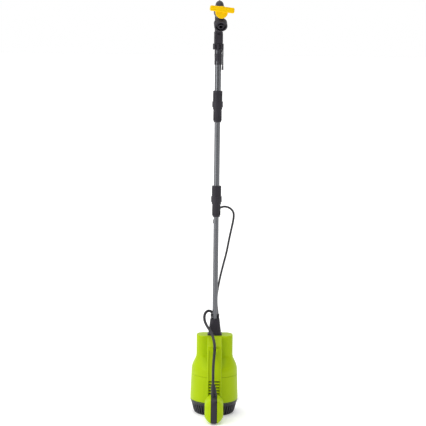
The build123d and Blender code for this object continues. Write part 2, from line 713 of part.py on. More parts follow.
with BuildPart() as swivel_collar:
    ring(COLLAR_RADIUS, UPPER_TUBE / 2 + FIT, COLLAR_LOW, HEAD_LOW - 0.3)
    fillet(swivel_collar.edges().filter_by(GeomType.CIRCLE).sort_by(SortBy.RADIUS)[-2:], 1.2)
    with BuildSketch(Plane.XY.offset(COLLAR_LOW + 2.5)):
        with PolarLocations(COLLAR_RADIUS - 3, 8, start_angle=COLLAR_SLOT_TURN):
            Rectangle(12, 4.6)
    extrude(amount=14.4, mode=Mode.SUBTRACT)
    with BuildSketch(Plane.XZ):
        with BuildLine():
            Polyline(
                (LEVER_X - 2.6, LEVER_HEIGHT - 2.6),
                (LEVER_X + 2.6, LEVER_HEIGHT - 2.6),
                (LEVER_X + 2.6, COLLAR_LOW),
                (LEVER_X - 2.6, COLLAR_LOW),
                close=True,
            )
        make_face()
    extrude(amount=7.5, both=True)
    with BuildSketch(Plane.XZ):
        with Locations((LEVER_X, LEVER_HEIGHT - 1)):
            Rectangle(12, 10)
    extrude(amount=5, both=True, mode=Mode.SUBTRACT)
    with BuildSketch(Plane.XZ):
        with Locations((LEVER_X, LEVER_HEIGHT)):
            Circle(1.2)
    extrude(amount=10, both=True, mode=Mode.SUBTRACT)
swivel_collar.part.label = "swivel_collar"
export_step(swivel_collar.part, "parts/swivel_collar.step")

with BuildPart() as lever_pin:
    with BuildSketch(Plane.XZ):
        with Locations((LEVER_X, LEVER_HEIGHT)):
            Circle(1.2)
    extrude(amount=7.5, both=True)
lever_pin.part.label = "lever_pin"
export_step(lever_pin.part, "parts/lever_pin.step")

with BuildPart() as clamp_lever:
    with BuildSketch(Plane.XZ):
        with Locations((LEVER_X, LEVER_HEIGHT)):
            Circle(2.6)
        with BuildLine():
            Polyline(
                (LEVER_X - 1.7, LEVER_HEIGHT),
                (LEVER_X + 2.6, LEVER_HEIGHT),
                (LEVER_X + 3.4, LEVER_HEIGHT - 62),
                (LEVER_X - 2.6, LEVER_HEIGHT - 62),
                (LEVER_X - 1.7, LEVER_HEIGHT - 48),
                close=True,
            )
        make_face()
        with Locations((LEVER_X, LEVER_HEIGHT)):
            Circle(1.2 + FIT, mode=Mode.SUBTRACT)
    extrude(amount=4.7, both=True)
clamp_lever.part.label = "clamp_lever"
export_step(clamp_lever.part, "parts/clamp_lever.step")

with BuildPart() as head_socket:
    with BuildSketch(Plane.XY.offset(HEAD_LOW)):
        Circle(HEAD_PIPE / 2 + 2)
    extrude(amount=38)
    with BuildSketch(Plane.XZ.offset(10)):
        with Locations((0, HEAD_LOW + 16)):
            Rectangle(26, 30)
        with Locations((0, HEAD_LOW + 30)):
            Circle(13)
    extrude(amount=8)
    with BuildSketch(Plane.XZ.offset(15)):
        with Locations((0, HEAD_LOW + 32)):
            Ellipse(5.5, 4)
    extrude(amount=6, mode=Mode.SUBTRACT)
    with BuildSketch(Plane.XY.offset(HEAD_LOW)):
        Circle(UPPER_TUBE / 2 + FIT)
    extrude(amount=UPPER_TUBE_TOP - HEAD_LOW + LOOSE, mode=Mode.SUBTRACT)
    with BuildSketch(Plane.XY.offset(UPPER_TUBE_TOP + LOOSE)):
        Circle(HEAD_PIPE / 2 + FIT)
    extrude(amount=30, mode=Mode.SUBTRACT)
head_socket.part = head_socket.part.rotate(Axis.Z, HEAD_TURN)
head_socket.part.label = "head_socket"
export_step(head_socket.part, "parts/head_socket.step")

BEND_Y = -2 * BEND_RADIUS


def on_bend(degrees):
    """The point that far round the gooseneck's bend."""
    return (
        0,
        BEND_RADIUS * (cos(radians(degrees)) - 1),
        BEND_START + BEND_RADIUS * sin(radians(degrees)),
    )


with BuildPart() as gooseneck:
    with BuildLine() as bend_line:
        Line((0, 0, UPPER_TUBE_TOP + 0.5), (0, 0, BEND_START))
        ThreePointArc(on_bend(0), on_bend(BEND_TURN / 2), on_bend(BEND_TURN))
    with BuildSketch(Plane.XY.offset(UPPER_TUBE_TOP + 0.5)):
        Circle(HEAD_PIPE / 2)
        Circle(HEAD_BORE / 2, mode=Mode.SUBTRACT)
    sweep(path=bend_line.wire())
    with BuildSketch(Plane.XY.offset(BEND_START + BEND_RADIUS + HEAD_PIPE / 2 - 1)):
        with Locations((0, BEND_Y / 2)):
            Circle(2.2)
    extrude(amount=2.2)
gooseneck.part = gooseneck.part.rotate(Axis.Z, HEAD_TURN)
gooseneck.part.label = "gooseneck"
export_step(gooseneck.part, "parts/gooseneck.step")

turn = radians(OUTLET_TURN)
ELBOW_START = VALVE_HEIGHT - 18
ELBOW_RADIUS = 20.0
OUTLET_AXIS = (0, -sin(turn), -cos(turn))
OUTLET_ORIGIN = (0, BEND_Y - ELBOW_RADIUS * (1 - cos(turn)), ELBOW_START - ELBOW_RADIUS * sin(turn))
ELBOW_MIDDLE = (0, BEND_Y - ELBOW_RADIUS * (1 - cos(turn / 2)), ELBOW_START - ELBOW_RADIUS * sin(turn / 2))
outlet_plane = Plane(origin=OUTLET_ORIGIN, x_dir=(1, 0, 0), z_dir=OUTLET_AXIS)
SPIGOT_LENGTH = 12.0

with BuildPart() as valve_body:
    with BuildSketch(Plane.XZ.offset(-BEND_Y - 17)):
        with Locations((0, VALVE_HEIGHT)):
            Circle(VALVE_RADIUS)
    extrude(amount=34)
    with BuildSketch(Plane.XZ.offset(-BEND_Y + 17)):
        with Locations((0, VALVE_HEIGHT)):
            Circle(SPINDLE_RADIUS + 4)
    extrude(amount=14)
    with BuildSketch(Plane.XY.offset(VALVE_HEIGHT)):
        with Locations((0, BEND_Y)):
            Circle(HEAD_PIPE / 2 + 2.2)
    extrude(amount=19)
    with BuildLine() as elbow_line:
        Line((0, BEND_Y, ELBOW_START + 5), (0, BEND_Y, ELBOW_START))
        ThreePointArc((0, BEND_Y, ELBOW_START), ELBOW_MIDDLE, OUTLET_ORIGIN)
        Line(OUTLET_ORIGIN, outlet_plane.offset(SPIGOT_LENGTH).origin)
    with BuildSketch(Plane.XY.offset(ELBOW_START + 5)):
        with Locations((0, BEND_Y)):
            Circle(11)
    sweep(path=elbow_line.wire())
    with BuildSketch(Plane.XY.offset(ELBOW_START + 5)):
        with Locations((0, BEND_Y)):
            Circle(HEAD_BORE / 2 - 1)
    sweep(path=elbow_line.wire(), mode=Mode.SUBTRACT)
    with BuildSketch(Plane.XY.offset(ELBOW_START)):
        with Locations((0, BEND_Y)):
            Circle(HEAD_BORE / 2 - 1)
    extrude(amount=30, mode=Mode.SUBTRACT)
    with Locations((0, BEND_Y, VALVE_HEIGHT)):
        Sphere(PLUG_RADIUS + FIT, mode=Mode.SUBTRACT)
    with BuildLine() as bend_seat:
        ThreePointArc(on_bend(90), on_bend(125), on_bend(BEND_TURN))
    with BuildSketch(Plane(origin=on_bend(90), z_dir=(0, -1, 0))):
        Circle(HEAD_PIPE / 2 + FIT)
    sweep(path=bend_seat.wire(), mode=Mode.SUBTRACT)
    with BuildSketch(Plane.XZ.offset(-BEND_Y)):
        with Locations((0, VALVE_HEIGHT)):
            Circle(SPINDLE_RADIUS + FIT)
    extrude(amount=60, mode=Mode.SUBTRACT)
valve_body.part = valve_body.part.rotate(Axis.Z, HEAD_TURN)
valve_body.part.label = "valve_body"
export_step(valve_body.part, "parts/valve_body.step")

with BuildPart() as valve_plug:
    with Locations((0, BEND_Y, VALVE_HEIGHT)):
        Sphere(PLUG_RADIUS)
        Cylinder(HEAD_BORE / 2 - 1, 4 * PLUG_RADIUS, mode=Mode.SUBTRACT)
valve_plug.part = valve_plug.part.rotate(Axis.Z, HEAD_TURN)
valve_plug.part.label = "valve_plug"
export_step(valve_plug.part, "parts/valve_plug.step")

with BuildPart() as valve_spindle:
    with BuildSketch(Plane.XZ.offset(-BEND_Y + PLUG_RADIUS)):
        with Locations((0, VALVE_HEIGHT)):
            Circle(SPINDLE_RADIUS)
    extrude(amount=HANDLE_BACK + 8 + BEND_Y - PLUG_RADIUS)
valve_spindle.part = valve_spindle.part.rotate(Axis.Z, HEAD_TURN)
valve_spindle.part.label = "valve_spindle"
export_step(valve_spindle.part, "parts/valve_spindle.step")

handle_plane = Plane(
    origin=(0, -HANDLE_BACK, VALVE_HEIGHT),
    x_dir=(cos(radians(HANDLE_TILT)), 0, sin(radians(HANDLE_TILT))),
    z_dir=(0, -1, 0),
)
with BuildPart() as valve_handle:
    with BuildSketch(handle_plane):
        Circle(HANDLE_DISC_RADIUS)
    extrude(amount=9)
    fillet(valve_handle.edges().sort_by(Axis.Y)[0], 2)
    with BuildSketch(handle_plane.offset(2)):
        with Locations((0, HANDLE_RISE)):
            RectangleRounded(HANDLE_SPAN, HANDLE_HEIGHT, 5)
    extrude(amount=14)
    fillet(valve_handle.edges().group_by(Axis.Y)[0], 3)
    with BuildSketch(handle_plane):
        Circle(SPINDLE_RADIUS)
    extrude(amount=8, mode=Mode.SUBTRACT)
valve_handle.part = valve_handle.part.rotate(Axis.Z, HEAD_TURN)
valve_handle.part.label = "valve_handle"
export_step(valve_handle.part, "parts/valve_handle.step")

with BuildPart() as outlet_nut:
    with BuildSketch(outlet_plane.offset(1)):
        Circle(OUTLET_NUT_RADIUS)
    extrude(amount=OUTLET_NUT_LENGTH)
    fillet(outlet_nut.edges().filter_by(GeomType.CIRCLE).sort_by(Axis.Z)[0], 2)
    with BuildSketch(outlet_plane):
        Circle(11 + LOOSE)
    extrude(amount=40, mode=Mode.SUBTRACT)
    with BuildSketch(outlet_plane.offset(5)):
        Circle(16.5)
    extrude(amount=40, mode=Mode.SUBTRACT)
    with BuildSketch(outlet_plane.offset(4)):
        with PolarLocations(OUTLET_NUT_RADIUS + 0.5, 24):
            Circle(1.3)
    extrude(amount=OUTLET_NUT_LENGTH - 7, mode=Mode.SUBTRACT)
outlet_nut.part = outlet_nut.part.rotate(Axis.Z, HEAD_TURN)
outlet_nut.part.label = "outlet_nut"
export_step(outlet_nut.part, "parts/outlet_nut.step")

with BuildPart() as outlet_nipple:
    with BuildSketch(outlet_plane.offset(SPIGOT_LENGTH)):
        Circle(15)
        Circle(6.5, mode=Mode.SUBTRACT)
    extrude(amount=3)
    with BuildSketch(outlet_plane.offset(SPIGOT_LENGTH + 3)):
        Circle(9)
        Circle(6.5, mode=Mode.SUBTRACT)
    extrude(amount=7)
outlet_nipple.part = outlet_nipple.part.rotate(Axis.Z, HEAD_TURN)
outlet_nipple.part.label = "outlet_nipple"
export_step(outlet_nipple.part, "parts/outlet_nipple.step")

# ---- float switch ----
float_face = Plane(origin=(0, FLOAT_Y, FLOAT_Z), x_dir=(0, 1, 0), z_dir=(1, 0, 0))
SHELL_RISE = (FLOAT_THICKNESS - FLOAT_BAND) / 2


def float_shell(side):
    """Half shell of the float: its sides slope in to a smaller outer face."""
    sections = []
    for inset, corner in ((0, 15), (FLOAT_WALL, 12.5)):
        length, height = FLOAT_LENGTH - 2 - 2 * inset, FLOAT_HEIGHT - 2 - 2 * inset
        with BuildSketch(float_face.offset(side * FLOAT_BAND / 2)) as seat:
            RectangleRounded(length, height, corner)
        with BuildSketch(float_face.offset(side * (FLOAT_THICKNESS / 2 - inset))) as crown:
            RectangleRounded(length - 2 * SHELL_RISE, height - 2 * SHELL_RISE, corner - 5)
        sections.append([seat.sketch, crown.sketch])
    loft(sections[0])
    loft(sections[1], mode=Mode.SUBTRACT)


with BuildPart() as float_band:
    with BuildSketch(float_face.offset(-FLOAT_BAND / 2)):
        RectangleRounded(FLOAT_LENGTH, FLOAT_HEIGHT, 16)
        RectangleRounded(FLOAT_LENGTH - 10, FLOAT_HEIGHT - 10, 11, mode=Mode.SUBTRACT)
    extrude(amount=FLOAT_BAND)
    with BuildSketch(Plane.XY.offset(FLOAT_Z + FLOAT_HEIGHT / 2)):
        with Locations((0, FLOAT_Y)):
            Circle(LEAD_DIAMETER / 2 + LOOSE)
    extrude(amount=-10, mode=Mode.SUBTRACT)
float_band.part.label = "float_band"
export_step(float_band.part, "parts/float_band.step")

with BuildPart() as float_shell_left:
    float_shell(-1)
float_shell_left.part.label = "float_shell_left"
export_step(float_shell_left.part, "parts/float_shell_left.step")

with BuildPart() as float_shell_right:
    float_shell(1)
float_shell_right.part.label = "float_shell_right"
export_step(float_shell_right.part, "parts/float_shell_right.step")

FLOAT_TOP = FLOAT_Z + FLOAT_HEIGHT / 2
with BuildPart() as float_strain_relief:
    strain_relief((0, FLOAT_Y), FLOAT_TOP, FLOAT_GLAND_TOP, 10, LEAD_DIAMETER / 2 - 0.8)
float_strain_relief.part.label = "float_strain_relief"
export_step(float_strain_relief.part, "parts/float_strain_relief.step")

SWITCH_LOW = FLOAT_Z - FLOAT_HEIGHT / 2 + 5
with BuildPart() as float_switch:
    with BuildSketch(Plane.XY.offset(SWITCH_LOW)):
        with Locations((0, FLOAT_Y)):
            Circle(8)
    extrude(amount=FLOAT_HEIGHT - 10)
    with BuildSketch(Plane.XY.offset(SWITCH_LOW + 4)):
        with Locations((0, FLOAT_Y)):
            Circle(6 + FIT)
    extrude(amount=34, mode=Mode.SUBTRACT)
float_switch.part.label = "float_switch"
export_step(float_switch.part, "parts/float_switch.step")

with BuildPart() as switch_ball:
    with Locations((0, FLOAT_Y, SWITCH_LOW + 4 + 6)):
        Sphere(6)
switch_ball.part.label = "switch_ball"
export_step(switch_ball.part, "parts/switch_ball.step")

# ---- cords, coil and plug ----
with BuildPart() as float_lead:
    cord_tube(LEAD_ROUTE, LEAD_DIAMETER)
float_lead.part.label = "float_lead"
export_step(float_lead.part, "parts/float_lead.step")

with BuildPart() as float_lead_drop:
    cord_tube(DROP_ROUTE, LEAD_DIAMETER)
float_lead_drop.part.label = "float_lead_drop"
export_step(float_lead_drop.part, "parts/float_lead_drop.step")

with BuildPart() as power_cord:
    cord_tube(CORD_ROUTE, CORD_DIAMETER)
power_cord.part.label = "power_cord"
export_step(power_cord.part, "parts/power_cord.step")

with BuildPart() as power_cord_tail:
    cord_tube(TAIL_ROUTE, CORD_DIAMETER)
power_cord_tail.part.label = "power_cord_tail"
export_step(power_cord_tail.part, "parts/power_cord_tail.step")

with BuildPart() as power_cord_coil:
    with BuildSketch(Plane.XY):
        with Locations(COIL_CENTRE):
            Circle(COIL_RADIUS + COIL_THICKNESS / 2)
            Circle(COIL_RADIUS - COIL_THICKNESS / 2, mode=Mode.SUBTRACT)
    extrude(amount=COIL_THICKNESS)
    fillet(power_cord_coil.edges().filter_by(GeomType.CIRCLE), 3)
power_cord_coil.part.label = "power_cord_coil"
export_step(power_cord_coil.part, "parts/power_cord_coil.step")

plug_plane = Plane(origin=(PLUG_START, PLUG_Y, PLUG_HEIGHT), x_dir=(0, 1, 0), z_dir=(1, 0, 0))
with BuildPart() as power_plug:
    with BuildSketch(plug_plane):
        Circle(5)
    with BuildSketch(plug_plane.offset(24)):
        Circle(8)
    loft()
    with BuildSketch(plug_plane.offset(24)):
        Circle(11)
    with BuildSketch(plug_plane.offset(38)):
        Circle(18)
    loft()
    with BuildSketch(plug_plane.offset(38)):
        Circle(18.5)
    extrude(amount=26)
    fillet(power_plug.edges().filter_by(GeomType.CIRCLE).sort_by(Axis.X)[-1], 1.5)
power_plug.part.label = "power_plug"
export_step(power_plug.part, "parts/power_plug.step")

with BuildPart() as plug_pins:
    with BuildSketch(plug_plane.offset(64)):
        with GridLocations(19, 0, 2, 1):
            Circle(2.4)
    extrude(amount=19)
    fillet(plug_pins.edges().group_by(Axis.X)[-1], 1)
plug_pins.part.label = "plug_pins"
export_step(plug_pins.part, "parts/plug_pins.step")

with BuildPart() as base_screws:
    with BuildSketch(Plane.XY.offset(WALL)):
        with PolarLocations(40, 3, start_angle=30):
            Circle(3)
    extrude(amount=41)
base_screws.part.label = "base_screws"
export_step(base_screws.part, "parts/base_screws.step")
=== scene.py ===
import json
import math

import bmesh
import bpy
import numpy as np
from mathutils import Euler, Matrix, Vector


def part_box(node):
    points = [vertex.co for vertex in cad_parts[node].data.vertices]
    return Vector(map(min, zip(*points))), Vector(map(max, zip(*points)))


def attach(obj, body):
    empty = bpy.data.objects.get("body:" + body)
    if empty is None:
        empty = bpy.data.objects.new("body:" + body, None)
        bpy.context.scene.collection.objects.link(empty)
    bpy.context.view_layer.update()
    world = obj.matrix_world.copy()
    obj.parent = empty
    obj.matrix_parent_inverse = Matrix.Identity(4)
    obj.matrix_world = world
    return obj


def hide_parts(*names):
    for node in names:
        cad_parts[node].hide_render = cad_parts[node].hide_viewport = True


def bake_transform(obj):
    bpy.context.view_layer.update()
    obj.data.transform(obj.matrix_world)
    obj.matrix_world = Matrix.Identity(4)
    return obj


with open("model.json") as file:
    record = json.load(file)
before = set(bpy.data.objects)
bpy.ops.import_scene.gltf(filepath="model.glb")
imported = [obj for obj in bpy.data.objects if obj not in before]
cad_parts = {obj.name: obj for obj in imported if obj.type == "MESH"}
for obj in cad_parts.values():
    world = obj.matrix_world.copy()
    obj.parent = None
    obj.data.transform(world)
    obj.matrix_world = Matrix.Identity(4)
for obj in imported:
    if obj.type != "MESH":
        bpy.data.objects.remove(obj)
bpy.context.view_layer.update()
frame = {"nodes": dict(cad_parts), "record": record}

# A rain barrel pump: moulded housing, telescopic riser, gooseneck with a shut-off valve, float
# switch.
# Metres throughout, +Z up, the float hangs at -Y.

MM = 0.001
nodes = frame["nodes"]


def link(piece):
    """The piece, put in the scene."""
    bpy.context.scene.collection.objects.link(piece)
    return piece


# ---- camera ----
CAMERA_PLACE = (-0.0108, -5.0, 1.343)
CAMERA_DIP = math.radians(7.6)
CAMERA_ROLL = math.radians(0.7)
SENSOR = 36.0
FOCAL_SHARE = 3.563  # focal length over the sensor's width
CAMERA_REACH = 100


def make_camera():
    """A long lens at head height, looking a little down and turned a little about its own axis."""
    camera = link(bpy.data.objects.new("camera", bpy.data.cameras.new("camera")))
    camera.data.sensor_width = SENSOR
    camera.data.lens = SENSOR * FOCAL_SHARE
    camera.data.clip_end = CAMERA_REACH
    level = Euler((math.pi / 2 - CAMERA_DIP, 0, 0)).to_matrix()
    turned = level @ Matrix.Rotation(CAMERA_ROLL, 3, "Z")
    camera.matrix_world = Matrix.Translation(CAMERA_PLACE) @ turned.to_4x4()
    bpy.context.scene.camera = camera


make_camera()


# ---- nodes and colours of the materials ----
WAVE_RADIANS = 20  # per metre, in Blender's wave texture at a scale of 1


def linear(code):
    """An sRGB hex colour as the linear colour that a shader takes."""
    parts = np.array([int(code[i : i + 2], 16) for i in (0, 2, 4)]) / 255
    parts = np.where(parts <= 0.04045, parts / 12.92, ((parts + 0.055) / 1.055) ** 2.4)
    return (*parts.tolist(), 1.0)


def add_node(tree, kind, settings=None, links=None):
    """A new node with its properties and unlinked sockets set, and its other sockets linked."""
    node = tree.nodes.new(kind)
    for name, value in (settings or {}).items():
        if isinstance(name, str) and hasattr(node, name):
            setattr(node, name, value)
        else:
            node.inputs[name].default_value = value
    for name, socket in (links or {}).items():
        tree.links.new(socket, node.inputs[name])
    return node


def start_material(name, **settings):
    """An empty material with its shader, and the point in the object's own space."""
    material = bpy.data.materials.new(name)
    material.use_nodes = True
    tree = material.node_tree
    tree.nodes.clear()
    sockets = {name.replace("_", " "): value for name, value in settings.items()}
    shader = add_node(tree, "ShaderNodeBsdfPrincipled", sockets)
    add_node(tree, "ShaderNodeOutputMaterial", links={"Surface": shader.outputs["BSDF"]})
    place = add_node(tree, "ShaderNodeTexCoord").outputs["Object"]
    return material, tree, shader, place


def dress_shader(tree, shader, pattern, colours, colour_pattern, roughness, bump):
    """The colour runs between two tones and the roughness between two values. The pattern's
    height breaks the surface up by a strength and a depth in millimetres."""
    low_tone, high_tone = colours
    tint = add_node(
        tree,
        "ShaderNodeMix",
        {"data_type": "RGBA", 6: linear(low_tone), 7: linear(high_tone)},
        {0: colour_pattern},
    )
    tree.links.new(tint.outputs[2], shader.inputs["Base Color"])
    smooth, rough = roughness
    sheen = add_node(
        tree, "ShaderNodeMapRange", {"To Min": smooth, "To Max": rough}, {"Value": pattern}
    )
    tree.links.new(sheen.outputs["Result"], shader.inputs["Roughness"])
    strength, depth = bump
    relief = add_node(
        tree, "ShaderNodeBump", {"Strength": strength, "Distance": depth * MM}, {"Height": pattern}
    )
    tree.links.new(relief.outputs["Normal"], shader.inputs["Normal"])


def moulded(name, hue, deep, gloss, grain_mm, grain_depth, ior=1.5, shine=0.5):
    """Injection moulded plastic: an even colour that pools a little darker where the melt
    flowed, over a fine spark-eroded grain that breaks the highlight up."""
    material, tree, shader, place = start_material(name, IOR=ior, Specular_IOR_Level=shine)
    flow = add_node(
        tree,
        "ShaderNodeTexNoise",
        {"Scale": 9.0, "Detail": 3.0, "Roughness": 0.45},
        {"Vector": place},
    )
    grain = add_node(
        tree,
        "ShaderNodeTexNoise",
        {"Scale": 1 / (grain_mm * MM), "Detail": 2.0, "Roughness": 0.6},
        {"Vector": place},
    )
    dress_shader(
        tree,
        shader,
        grain.outputs["Fac"],
        (hue, deep),
        flow.outputs["Fac"],
        (gloss - 0.06, gloss + 0.1),
        (0.35, grain_depth),
    )
    return material


def drawn_metal(name, light, dark, gloss, pitch_mm, stretch):
    """Drawn tube: fine lines run along the tube where the die scored it, so it shines in a
    long narrow streak."""
    material, tree, shader, place = start_material(name, Metallic=1.0)
    pulled = add_node(
        tree, "ShaderNodeMapping", {"Scale": (1.0, 1.0, 1 / stretch)}, {"Vector": place}
    )
    lines = add_node(
        tree,
        "ShaderNodeTexNoise",
        {"Scale": 1 / (pitch_mm * MM), "Detail": 3.0, "Roughness": 0.6},
        {"Vector": pulled.outputs["Vector"]},
    ).outputs["Fac"]
    dress_shader(
        tree, shader, lines, (dark, light), lines, (gloss - 0.05, gloss + 0.12), (0.2, 0.04)
    )
    return material


def layered(name, light, dark, gloss, radian_mm):
    """Layers of metal stacked along Z: the edges of stamped sheets, or turns of wire. Each one is
    a round ridge that takes radian_mm for every radian of its wave. The colour follows the same
    wave: a painted highlight on each ridge and painted shade in the grooves between."""
    material, tree, shader, place = start_material(name, Metallic=1.0)
    ridges_and_painted_shade = add_node(
        tree,
        "ShaderNodeTexWave",
        {
            "wave_type": "BANDS",
            "bands_direction": "Z",
            "wave_profile": "SIN",
            "Scale": 1 / (radian_mm * MM) / WAVE_RADIANS,
            "Distortion": 0.3,
            "Detail": 1.0,
        },
        {"Vector": place},
    ).outputs["Fac"]
    # The tones follow the ridges: painted highlight on their tops, painted shade in the grooves.
    dress_shader(tree, shader, ridges_and_painted_shade, (dark, light), ridges_and_painted_shade, (gloss, gloss), (0.6, 0.3))
    return material


# ABS housing: satin, bright lime, with a soft highlight.
lime_abs = moulded("lime_moulded_abs", "A8C200", "9DB800", 0.4, 1.6, 0.05, 1.46, 0.12)
# ABS handle: the same finish in yellow.
yellow_abs = moulded("yellow_moulded_abs", "F0C900", "E9B600", 0.38, 1.6, 0.05, 1.46, 0.12)
# Charcoal polypropylene: duller and coarser in its grain than ABS, faintly violet in the light.
charcoal_pp = moulded(
    "charcoal_moulded_polypropylene", "322F36", "27252B", 0.44, 1.2, 0.12, 1.49, 0.25
)
# Glass-filled nylon inside the pump: dull, speckled by its fibres.
dark_nylon = moulded("glass_filled_nylon", "3C3C3A", "2C2C2B", 0.6, 0.8, 0.1, 1.53)
# Rubber-sheathed flexible cord: matt, with the extruder's fine grain.
cord_rubber = moulded(
    "extruded_cord_rubber", "302E33", "262429", 0.5, 1.0, 0.08, shine=0.35
)
# Nitrile seals: blacker and smoother.
seal_nitrile = moulded("moulded_nitrile", "1B1B1B", "141414", 0.5, 1.0, 0.04, 1.52)
# Drawn and anodised aluminium tube.
drawn_aluminium = drawn_metal("drawn_anodised_aluminium", "707174", "58595D", 0.22, 0.8, 60)
# Ground stainless steel of the shaft, screws and pin.
ground_steel = drawn_metal("ground_stainless_steel", "CFCFCD", "ACACAA", 0.24, 0.6, 4)
# Nickel-plated brass pins.
nickel_plate = drawn_metal("nickel_plated_brass", "D8D2C6", "BEB8AC", 0.2, 1.0, 2)
# Stator and rotor: edges of stamped electrical sheet, a ridge every 6.3 mm, with a painted
# highlight on each ridge and painted shade between the sheets.
sheet_stack = layered("stamped_electrical_steel", "8C8C8E", "5A5A5C", 0.42, 1.0)
# Windings: enamelled copper wire, a ridge every 6.3 mm so that its turns show, with a painted
# highlight on each turn and painted shade between the turns.
enamelled_copper = layered("enamelled_copper_wire", "B8622F", "7A3A18", 0.3, 1.0)

FINISHES = {
    "green_housing": lime_abs,
    "black_plastic": charcoal_pp,
    "yellow_plastic": yellow_abs,
    "tube_aluminium": drawn_aluminium,
    "cable_rubber": cord_rubber,
    "seal_rubber": seal_nitrile,
    "inner_plastic": dark_nylon,
    "motor_steel": sheet_stack,
    "winding_copper": enamelled_copper,
    "bright_steel": ground_steel,
    "pin_brass": nickel_plate,
}

slot_of = {part["node"]: part["material_slot"] for part in frame["record"]["subparts"]}


def dress_cad_nodes():
    """Every carried-over CAD node takes the finish of its slot."""
    for name, node in nodes.items():
        node.data.materials.clear()
        node.data.materials.append(FINISHES[slot_of[name]])


dress_cad_nodes()


# ---- cords ----
LEAD_DIAMETER = 9 * MM
CORD_DIAMETER = 7 * MM

# Routes are in millimetres, as in part.py.
FLOAT_LEAD_ROUTE = [
    (-5.2, 23.4, 306),
    (-5.2, 23.4, 320),
    (-7.5, 19, 334.5),
    (-16.5, 9.5, 343.5),
    (-26.5, 0, 344.5),
    (-34.5, -8, 336),
    (-36, -15, 321),
    (-31.5, -23, 307),
    (-22.5, -33, 294),
    (-13.5, -45, 284),
    (-7, -60, 271.5),
    (-2.5, -77, 260),
    (0, -91, 248),
    (0, -91, 236.5),
    (0, -91, 227.5),
    (-1, -91, 212),
    (-2.5, -97, 196),
    (-3.5, -107, 180),
    (-4, -118.5, 165),
    (-4, -129, 151),
    (-3.8, -133.5, 138),
    (-3.5, -133.5, 125),
]

HANG_X = -4.0
ARCH_CENTRE = (28.0, 662.0)
ARCH_APOTHEM = 32.0
ARCH_STEP = 30
ARCH_TURNS = range(ARCH_STEP // 2, 180, ARCH_STEP)
ARCH_REACH = ARCH_APOTHEM / math.cos(math.radians(ARCH_STEP / 2))
ARCH_START_Y = 30.0
ARCH_DRIFT = 3.0  # how far the arch comes forward from its first point to its last
ARCH_ROUTE = [
    (
        ARCH_CENTRE[0] + ARCH_REACH * math.cos(math.radians(turn)),
        ARCH_START_Y - ARCH_DRIFT * (turn - ARCH_TURNS[0]) / (ARCH_TURNS[-1] - ARCH_TURNS[0]),
        ARCH_CENTRE[1] + ARCH_REACH * math.sin(math.radians(turn)),
    )
    for turn in ARCH_TURNS
]
POWER_CORD_ROUTE = [
    (9.2, 27, 306),
    (9.2, 27, 323),
    (8, 29.5, 340),
    (5.5, 35, 359),
    (4.5, 39.5, 384),
    (8.5, 39.5, 414),
    (16, 36, 456),
    (26, 33, 498),
    (36.5, 31, 540),
    (43.5, 31, 580),
    (50, 30, 612),
    (56.5, 30, 642),
    *ARCH_ROUTE,
    (HANG_X, 27.2, 646),
    (HANG_X + 0.1, 27.3, 608),
    (HANG_X, 27.5, 545),
    (HANG_X - 0.1, 27.4, 462),
    (HANG_X, 27.2, 402),
    (HANG_X, 27.3, 361),
    (-4.5, 33, 334),
    (-5, 46, 306),
    (-5, 62, 279),
    (-2.5, 79, 249),
    (4, 92, 212),
    (13, 98, 172),
    (22, 101, 132),
    (28, 104, 98),
    (26, 110, 73),
    (16, 116.5, 55),
    (0, 120.5, 46),
    (-18, 124, 39),
]
TAIL_ROUTE = [
    (-58.5, 180, 42),
    (-55, 194, 48),
    (-47.5, 204.5, 53),
    (-36, 208, 54.5),
    (-24, 208, 54.5),
]

COIL_CENTRE = (0.0, 180.0)
COIL_MIDDLE_RADIUS = 58.0
COIL_MIDDLE_COLUMN = 2
COIL_BOTTOM = 3.5
COIL_START_TURN = 234.4
COIL_STEP = 30
# Each turn's column, counted outwards, and its row, counted upwards.
COIL_CELLS = [
    (2, 4), (3, 4), (4, 4), (4, 3), (4, 2), (4, 1), (4, 0), (3, 0),
    (3, 1), (3, 2), (3, 3), (2, 3), (2, 2), (2, 1), (2, 0), (1, 0),
    (0, 0), (0, 1), (1, 1), (1, 2), (0, 2), (0, 3), (1, 3), (1, 4),
]
# How the cord climbs off the last turn: degrees past the start, radius, height.
COIL_CLIMB = [(0, 51.5, 33.5), (22, 52.5, 38), (42, 55, 40.5)]


def coil_point(degrees, radius, height):
    """A control point of the coil, moved out so that the smooth curve runs at that radius."""
    reach = radius / math.cos(math.radians(COIL_STEP / 2))
    turn = math.radians(degrees)
    across, back = COIL_CENTRE
    return (across + reach * math.cos(turn), back + reach * math.sin(turn), height)


def coil_route():
    """The coil's turns, wound clockwise cell by cell, a cord's width apart."""
    pitch = CORD_DIAMETER / MM
    points = []
    for turn, (column, row) in enumerate(COIL_CELLS):
        radius = COIL_MIDDLE_RADIUS + (column - COIL_MIDDLE_COLUMN) * pitch
        for step in range(360 // COIL_STEP):
            degrees = COIL_START_TURN - COIL_STEP * step - 360 * turn
            points.append(coil_point(degrees, radius, COIL_BOTTOM + row * pitch))
    for past, radius, height in COIL_CLIMB:
        points.append(coil_point(COIL_START_TURN - past, radius, height))
    return points


def smooth_line(name, route):
    """A curve of one smooth quadratic spline through the route's space."""
    data = bpy.data.curves.new(name, "CURVE")
    data.dimensions = "3D"
    spline = data.splines.new("NURBS")
    spline.points.add(len(route) - 1)
    control = np.ones((len(route), 4))
    control[:, :3] = np.array(route) * MM
    spline.points.foreach_set("co", control.ravel())
    spline.order_u = 3
    spline.use_endpoint_u = True
    spline.resolution_u = 6
    return link(bpy.data.objects.new(name, data))


